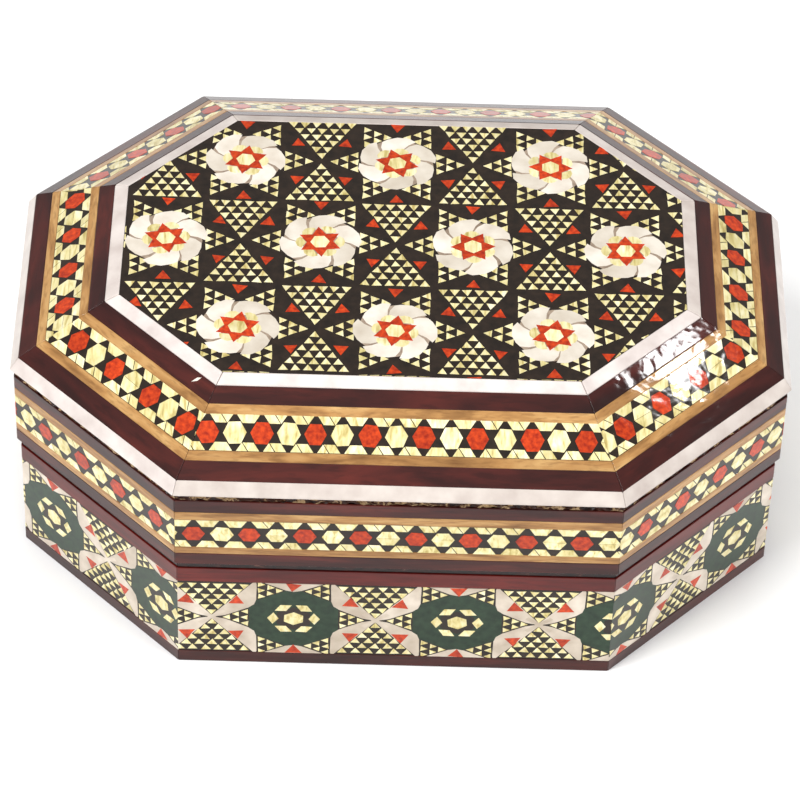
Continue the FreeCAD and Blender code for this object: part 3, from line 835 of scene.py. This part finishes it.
# A bone band bends round between two points of a star: its outer line, then its inner line back.
# The bands at the panel's upper and lower edges follow the star's hexagon. The four others follow the large
# gold triangles, whose sides lean more because they are spread.
EDGE_OUTER = [hexagon_side(share, out) for share, out in
              ((0.02, 0.0), (0.12, 0.12), (0.26, 0.38), (0.5, 0.42), (0.74, 0.38), (0.88, 0.12), (0.98, 0.0))]
BAND_INNER = [polar(radius, 30 + turn) for radius, turn in
              ((11.0, 27.4), (10.2, 24.6), (8.9, 18.0), (7.75, 9.5), (7.3, 0),
               (7.75, -9.5), (8.9, -18.0), (10.2, -24.6), (11.0, -27.4))]
SIDE_LEAN = math.tan(math.radians(30)) * SIDE_SPREAD[0] / SIDE_SPREAD[1]
ARM_GAP = 0.03
ARM_OUTER = [(SIDE_PITCH / 2 - ARM_GAP - (rise - SIDE_APEX) * SIDE_LEAN, rise)
             for rise in (0.55, 2.5, 5.0, 7.5, 10.0)]
ARM_TIP = [(SIDE_PITCH / 2 - 0.8, 0.15), (SIDE_PITCH / 2 - 0.05, 0.1)]
ARM_OUTLINE = ARM_OUTER + BAND_INNER + ARM_TIP
EDGE_BAND = Tile("tile_edge_band", EDGE_OUTER + BAND_INNER)
ARM_BAND = Tile("tile_arm_band", ARM_OUTLINE)
ARM_BAND_TURNED = Tile("tile_arm_band_turned", [(-x, y) for x, y in reversed(ARM_OUTLINE)])

# Where four bands meet, a cross of bone joins them: the lean, half width and reach of its arms
CROSS_LEAN = 42
CROSS_HALF_WIDTH = 0.4
CROSS_REACH = 2.7


def cross_outline():
    """Outline of the cross: the notch before each arm, then the two corners at that arm's end."""
    corner_reach = math.hypot(CROSS_REACH, CROSS_HALF_WIDTH)
    corner_turn = math.degrees(math.atan2(CROSS_HALF_WIDTH, CROSS_REACH))
    points = []
    for notch in range(0, 360, 90):
        lean = 90 - CROSS_LEAN if notch % 180 else CROSS_LEAN
        points.append(polar(CROSS_HALF_WIDTH / math.sin(math.radians(lean)), notch))
        points.append(polar(corner_reach, notch + lean - corner_turn))
        points.append(polar(corner_reach, notch + lean + corner_turn))
    return points


CROSS = Tile("tile_bone_cross", cross_outline())


def green_star(layout, x, y):
    """Star of the base's sides: a green centre with gold hexagon and rhombs, and bone bands."""
    star_frame(layout, x, y, SIDE_POINT_BASE, SIDE_POINT_SIZE, SIDE_RED_DISTANCE, SIDE_RED_SIZE,
               SIDE_RED_RISE, SIDE_EDGE)
    layout.lay(GREEN, GREEN_FIELD, x, y, 0.0, 1.0, BED_SINK)
    layout.lay(EBONY, DARK_STAR, x, y, 0.0, 1.0, BONE_SINK)
    layout.lay(GOLD, CENTRE, x, y, 30 + stray(CENTRE_TURN), SIDE_CENTRE_SIZE)
    for step in range(0, 360, 60):
        across, up = polar(RHOMB_DISTANCE, step)
        layout.lay(GOLD, RHOMB, x + across, y + up, step + stray(RHOMB_TURN))
    for band, step in ((EDGE_BAND, 60), (EDGE_BAND, 240), (ARM_BAND, 0), (ARM_BAND, 180),
                       (ARM_BAND_TURNED, 0), (ARM_BAND_TURNED, 180)):
        layout.lay(BAND_BONE, band, x, y, step, 1.0, BONE_SINK)


def on_side(piece, side, face, middle, slant=0.0):
    """Stand a flat layout on a side's face: its Y up the face, its Z out of it."""
    upright = Matrix.Rotation(math.radians(90) - slant, 4, "X")
    flip = Matrix.Rotation(math.radians(180), 4, "Z")
    place = side_place(side) @ Matrix.Translation((0, -face, middle)) @ flip @ upright
    piece.data.transform(place)
    return piece


def side_panels():
    """Star panels on the eight sides of the base."""
    low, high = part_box("base_inlay_front")
    half_height = (high.z - low.z) / 2 - JOINT_GAP
    pieces = {}
    for side, (_, _, half_length) in SIDES.items():
        layout = Layout(SIDE_SQUASH, SIDE_SQUASH)
        shift = SIDE_SHIFT[side]
        reach = (half_length - BASE_FACE * MITRE) / MM
        stars = []
        for place in STAR_PLACES:
            x = shift + (place + 0.5) * SIDE_PITCH
            if abs(x) < reach + SIDE_PITCH / 2:
                stars.append((x, 0))
        for x, y in stars:
            green_star(layout, x, y)
        beside = stars + [(stars[0][0] - SIDE_PITCH, 0)]
        fill_triangles(layout, beside, SIDE_PITCH, SIDE_APEX, SIDE_SPREAD)
        for x, y in beside:
            layout.lay(BAND_BONE, CROSS, x + SIDE_PITCH / 2, y, 0.0, 1.0, CROSS_SINK)
        end = reach * MM - JOINT_GAP
        cuts = [((end, 0, 0), (1, 0, 0)), ((-end, 0, 0), (-1, 0, 0)),
                ((0, half_height, 0), (0, 1, 0)), ((0, -half_height, 0), (0, -1, 0))]
        for material, name in MOSAIC:
            if material.name not in layout.laid:
                continue
            piece = saw(layout.mesh(f"base_{side}_{name}", material), cuts)
            on_side(piece, side, BASE_FACE + TILE_TOP, (low.z + high.z) / 2)
            pieces.setdefault(name, []).append(piece)
    for material, name in MOSAIC:
        if name in pieces:
            dress(gather(f"base_side_{name}_tiles", pieces[name]), material, "base", "mosaic")


# Bands of the lid, in millimetres: hexagons in a row, with half hexagons along both edges
BAND_HEXAGON = 1.88
BAND_LONG = 1.82
BAND_SHORT = 0.92
BAND_TALL = 1.4
BAND_EDGE = 1.58
# Joints inside a hexagon and a half hexagon that were laid from two pieces
SPLIT_LINE = 0.025
SPLIT_GAP = 0.12
# Height of the hexagons against a regular one, their pitch, and where the row falls on the front
SLOPE_RISE = 1.12
SLOPE_PITCH = 4.21
SLOPE_FRONT_SHIFT = -0.6
RIM_RISE = 0.92
RIM_PITCH = 4.35
RIM_FRONT_SHIFT = -1.55
# Chance differences, and the shares of gold hexagons in two pieces and of half hexagons in one
BAND_SHIFT = 2
BAND_STRAY = 0.1
BAND_TURN = 6
BAND_SIZES = (0.92, 1.0)
SPLIT_HEXAGONS = 0.5
WHOLE_HALVES = 0.45
BAND_MATERIALS = ((GOLD, "brass"), (RED, "red"))


def band_hexagons(name, rise):
    """A hexagon for a band, and half of one for those that were laid from two pieces."""
    whole = [(x, y * rise) for x, y in regular(6, BAND_HEXAGON)]
    half = [(BAND_HEXAGON, SPLIT_LINE), *whole[1:3], (-BAND_HEXAGON, SPLIT_LINE)]
    return Tile(f"tile_{name}_hexagon", whole), Tile(f"tile_{name}_half_hexagon", half)


SLOPE_HEXAGONS = band_hexagons("slope", SLOPE_RISE)
RIM_HEXAGONS = band_hexagons("rim", RIM_RISE)
TRAPEZOID = Tile("tile_band_trapezoid", [(-BAND_SHORT, 0), (BAND_SHORT, 0), (BAND_LONG, BAND_TALL),
                                         (-BAND_LONG, BAND_TALL)])
BAND_RHOMB = Tile("tile_band_rhomb", [(-BAND_SHORT, 0), (BAND_SHORT - SPLIT_GAP, 0),
                                      (-SPLIT_GAP, BAND_TALL), (-BAND_LONG, BAND_TALL)])
BAND_CORNER = Tile("tile_band_corner", [(BAND_SHORT, 0), (BAND_LONG, BAND_TALL), (SPLIT_GAP / 2, BAND_TALL)])


def band_layout(hexagons, reach, pitch, shift):
    """A row of red and gold hexagons, with gold half hexagons along both edges."""
    hexagon, half_hexagon = hexagons
    layout = Layout()
    count = int(reach / pitch) + 2
    for place in range(-count, count + 1):
        x = shift + place * pitch
        material = RED if place % 2 else GOLD
        middle, turn, size = x + stray(BAND_STRAY), stray(BAND_TURN), draw.uniform(*BAND_SIZES)
        if material == GOLD and draw.random() < SPLIT_HEXAGONS:
            layout.lay(GOLD, half_hexagon, middle, 0, turn, size)
            layout.lay(GOLD, half_hexagon, middle, 0, turn + 180, size)
        else:
            layout.lay(material, hexagon, middle, 0, turn, size)
        middle = x + pitch / 2
        for turn, edge in ((0, BAND_EDGE), (180, -BAND_EDGE)):
            if draw.random() < WHOLE_HALVES:
                layout.lay(GOLD, TRAPEZOID, middle, edge, turn)
            else:
                layout.lay(GOLD, BAND_RHOMB, middle, edge, turn)
                layout.lay(GOLD, BAND_CORNER, middle, edge, turn)
    return layout


def mosaic_band(name, hexagons, pitch, front_shift, face, middle, half_height, slant):
    """The band on one ring of sides, on the rim or on the slope."""
    pieces = {}
    for side, (_, _, half_length) in SIDES.items():
        half = half_length - face * MITRE
        shift = front_shift if side == "front" else stray(BAND_SHIFT)
        layout = band_layout(hexagons, half / MM, pitch, shift)
        taper = MITRE * math.sin(slant)
        cuts = [((half - JOINT_GAP, 0, 0), (1, taper, 0)), ((-half + JOINT_GAP, 0, 0), (-1, taper, 0)),
                ((0, half_height, 0), (0, 1, 0)), ((0, -half_height, 0), (0, -1, 0))]
        for material, label in BAND_MATERIALS:
            piece = saw(layout.mesh(f"{name}_{side}_{label}", material), cuts)
            pieces.setdefault(label, []).append(on_side(piece, side, face, middle, slant))
    for material, label in BAND_MATERIALS:
        dress(gather(f"{name}_{label}_tiles", pieces[label]), material, "lid", "mosaic")


# Small flake of bone lying in the lacquer of the front left slope, near the top panel's corner
FLAKE = Tile("tile_bone_flake", [(-0.95, -0.1), (0.1, -0.3), (0.95, 0.05), (0.2, 0.3)])
FLAKE_ALONG = 9.7
FLAKE_INSET = 13.4 * MM
FLAKE_TURN = 52


def stray_flake():
    layout = Layout()
    layout.lay(BONE, FLAKE, FLAKE_ALONG, 0, FLAKE_TURN)
    height = SLOPE_FOOT_Z + (FLAKE_INSET - SLOPE_FOOT) * math.tan(SLOPE)
    piece = layout.mesh("lid_bone_flake", BONE)
    on_side(piece, "front_left", FLAKE_INSET, height + TILE_TOP, math.pi / 2 - SLOPE)
    dress(piece, BONE, "lid", "bone")


def mosaic_bands():
    """Bands on the lid's upright rim and on its slope."""
    low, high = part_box("lid_rim_inlay")
    mosaic_band("lid_rim_band", RIM_HEXAGONS, RIM_PITCH, RIM_FRONT_SHIFT, TILE_TOP, (low.z + high.z) / 2,
                (high.z - low.z) / 2 - JOINT_GAP, 0.0)
    outer = HALF_WIDTH - high_corner("lid_slope_inlay").x
    inner = HALF_WIDTH - high_corner("lid_slope_upper_pale_strip").x
    middle = (outer + inner) / 2
    height = SLOPE_FOOT_Z + (middle - SLOPE_FOOT) * math.tan(SLOPE)
    half_width = (inner - outer) / 2 / math.cos(SLOPE)
    lean = math.pi / 2 - SLOPE
    mosaic_band("lid_slope_band", SLOPE_HEXAGONS, SLOPE_PITCH, SLOPE_FRONT_SHIFT,
                middle + TILE_TOP * math.sin(SLOPE), height - TILE_TOP * math.cos(SLOPE),
                half_width - JOINT_GAP, lean)


# Raw board edge, linings, boards and hinges

RAW_EDGE_STEP = 0.8 * MM
RAW_EDGE_FACE = 0.12 * MM
RAW_EDGE_ROUGHNESS = 0.4 * MM
RAW_EDGE_CUTS = 3
RAW_EDGE_ROUNDS = 5


def raw_edge():
    """Rough line of board edge and lacquer drops under the lid's bone line."""
    low = low_corner("lid_slope_board_front").z
    high = low_corner("lid_edge_bone_line").z
    strips = []
    for side, (_, _, half_length) in SIDES.items():
        length = 2 * (half_length - RAW_EDGE_FACE * MITRE)
        middle = (0, -(SLOPE_FOOT + RAW_EDGE_FACE) / 2, (low + high) / 2)
        strip = block(f"raw_edge_{side}", middle, (length, SLOPE_FOOT - RAW_EDGE_FACE, high - low))
        bpy.ops.object.mode_set(mode="EDIT")
        bpy.ops.mesh.select_all(action="SELECT")
        bpy.ops.mesh.subdivide(number_cuts=RAW_EDGE_CUTS)
        bpy.ops.object.mode_set(mode="OBJECT")
        for _ in range(RAW_EDGE_ROUNDS):
            for edge in strip.data.edges:
                ends = [strip.data.vertices[index].co for index in edge.vertices]
                edge.select = abs(ends[0].x - ends[1].x) > RAW_EDGE_STEP
            bpy.ops.object.mode_set(mode="EDIT")
            bpy.ops.mesh.select_mode(type="EDGE")
            bpy.ops.mesh.subdivide(number_cuts=1)
            bpy.ops.mesh.select_all(action="DESELECT")
            bpy.ops.object.mode_set(mode="OBJECT")
        saw(strip, mitre_cuts(half_length))
        for vertex in strip.data.vertices:
            if vertex.co.y > -(SLOPE_FOOT + RAW_EDGE_FACE) / 2:
                vertex.co.y -= draw.uniform(0, RAW_EDGE_ROUGHNESS)
        strip.data.transform(side_place(side))
        strips.append(strip)
    dress(gather("lid_raw_edge", strips), RAW_EDGE, "lid", "box_wood")


def copy_of(node, name):
    """A joined-up copy of a solid, to be finished."""
    piece = bpy.data.objects.new(name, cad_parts[node].data.copy())
    bpy.context.scene.collection.objects.link(piece)
    put_down_all()
    bpy.context.view_layer.objects.active = piece
    piece.select_set(True)
    bpy.ops.object.mode_set(mode="EDIT")
    bpy.ops.mesh.select_all(action="SELECT")
    bpy.ops.mesh.remove_doubles(threshold=WELD_DISTANCE)
    bpy.ops.mesh.dissolve_limited(angle_limit=FLAT_ANGLE)
    bpy.ops.object.mode_set(mode="OBJECT")
    return piece


def linings():
    for node, body in (("base_floor_lining", "base"), ("lid_ceiling_lining", "lid")):
        piece = round_edges(copy_of(node, node + "_velvet"), LINING_ROUND, segments=3)
        dress(piece, VELVET, body, "lining_velvet", node)
    low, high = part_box("base_wall_lining")
    inner = BASE_INNER + (high_corner("base_floor_lining").z - low_corner("base_floor_lining").z)
    ring = mitred_ring("base_wall_lining_velvet", BASE_INNER, inner, low.z, high.z, rounding=LINING_ROUND)
    dress(ring, VELVET, "base", "lining_velvet", "base_wall_lining")


def boards_and_hinges():
    """Solids that keep their own shape get their finish; hinge pieces are finished copies."""
    for name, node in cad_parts.items():
        if name.startswith("hinge_"):
            body = "base" if "base" in name or "pin" in name else "lid"
            piece = round_edges(copy_of(name, name + "_brass"), HINGE_ROUND)
            dress(piece, HINGE, body, "hinge_brass", name)
        elif "wall_" in name and "lining" not in name or "board" in name:
            side = name.split("wall_")[-1].split("slope_board_")[-1]
            turn = SIDES[side][0] % 180 if side in SIDES else 0
            node.data.materials.clear()
            node.data.materials.append(BOX_WOOD[turn])


# Floor, light and camera

CAMERA_TARGET = Vector((-0.27 * MM, -34.87 * MM, SLOPE_HEAD_Z))
CAMERA_DISTANCE = 654 * MM
CAMERA_AZIMUTH = math.radians(-0.77)
CAMERA_ELEVATION = math.radians(44.12)
CAMERA_ROLL = math.radians(2.06)
CAMERA_LENS = 189.0
CAMERA_NEAR = 0.01
FLOOR_SIZE = 6.0
WORLD_LIGHT = 0.42
# Each lamp: name, direction from the box, distance and size in metres, power in watts
LAMPS = (
    ("right_glint", (0.643, 0.119, 0.753), 0.807, 0.020, 0.085),
    ("right_fill", (0.75, -0.40, 0.45), 1.2, 0.50, 5.6),
    ("left_fill", (-0.80, -0.50, 0.30), 1.2, 0.50, 2.2),
    ("left_softbox", (-0.43, -0.33, 0.84), 1.1, 0.34, 7.6),
    ("overhead", (0.05, 0.15, 0.98), 1.2, 0.50, 3.6),
    ("front_fill", (0.15, -0.85, 0.50), 1.3, 0.60, 1.9),
)


def studio():
    put_down_all()
    bpy.ops.mesh.primitive_plane_add(size=FLOOR_SIZE, location=(0, 0, 0))
    floor = bpy.context.object
    floor.name = "floor"
    floor.data.materials.append(floor_finish())

    world = bpy.data.worlds.new("studio")
    world.use_nodes = True
    world.node_tree.nodes["Background"].inputs["Color"].default_value = (1, 1, 1, 1)
    world.node_tree.nodes["Background"].inputs["Strength"].default_value = WORLD_LIGHT
    bpy.context.scene.world = world

    for name, towards, distance, size, power in LAMPS:
        lamp = bpy.data.lights.new(name, "AREA")
        lamp.size = size
        lamp.energy = power
        light = bpy.data.objects.new(name, lamp)
        bpy.context.scene.collection.objects.link(light)
        direction = Vector(towards).normalized()
        light.location = direction * distance
        light.rotation_euler = direction.to_track_quat("Z", "Y").to_euler()

    back = Vector((math.sin(CAMERA_AZIMUTH) * math.cos(CAMERA_ELEVATION),
                   -math.cos(CAMERA_AZIMUTH) * math.cos(CAMERA_ELEVATION), math.sin(CAMERA_ELEVATION)))
    right = Vector((math.cos(CAMERA_AZIMUTH), math.sin(CAMERA_AZIMUTH), 0))
    up = back.cross(right)
    tilted_right = math.cos(CAMERA_ROLL) * right + math.sin(CAMERA_ROLL) * up
    tilted_up = math.cos(CAMERA_ROLL) * up - math.sin(CAMERA_ROLL) * right
    lens = bpy.data.cameras.new("camera")
    lens.lens = CAMERA_LENS
    lens.clip_start = CAMERA_NEAR
    camera = bpy.data.objects.new("camera", lens)
    bpy.context.scene.collection.objects.link(camera)
    facing = Matrix((tilted_right, tilted_up, back)).transposed().to_4x4()
    camera.matrix_world = Matrix.Translation(CAMERA_TARGET + back * CAMERA_DISTANCE) @ facing
    bpy.context.scene.camera = camera
    bpy.context.scene.view_settings.view_transform = "Standard"


lid_strips()
bone_lines()
base_edging()
top_panel()
side_panels()
mosaic_bands()
stray_flake()
raw_edge()
linings()
boards_and_hinges()
studio()
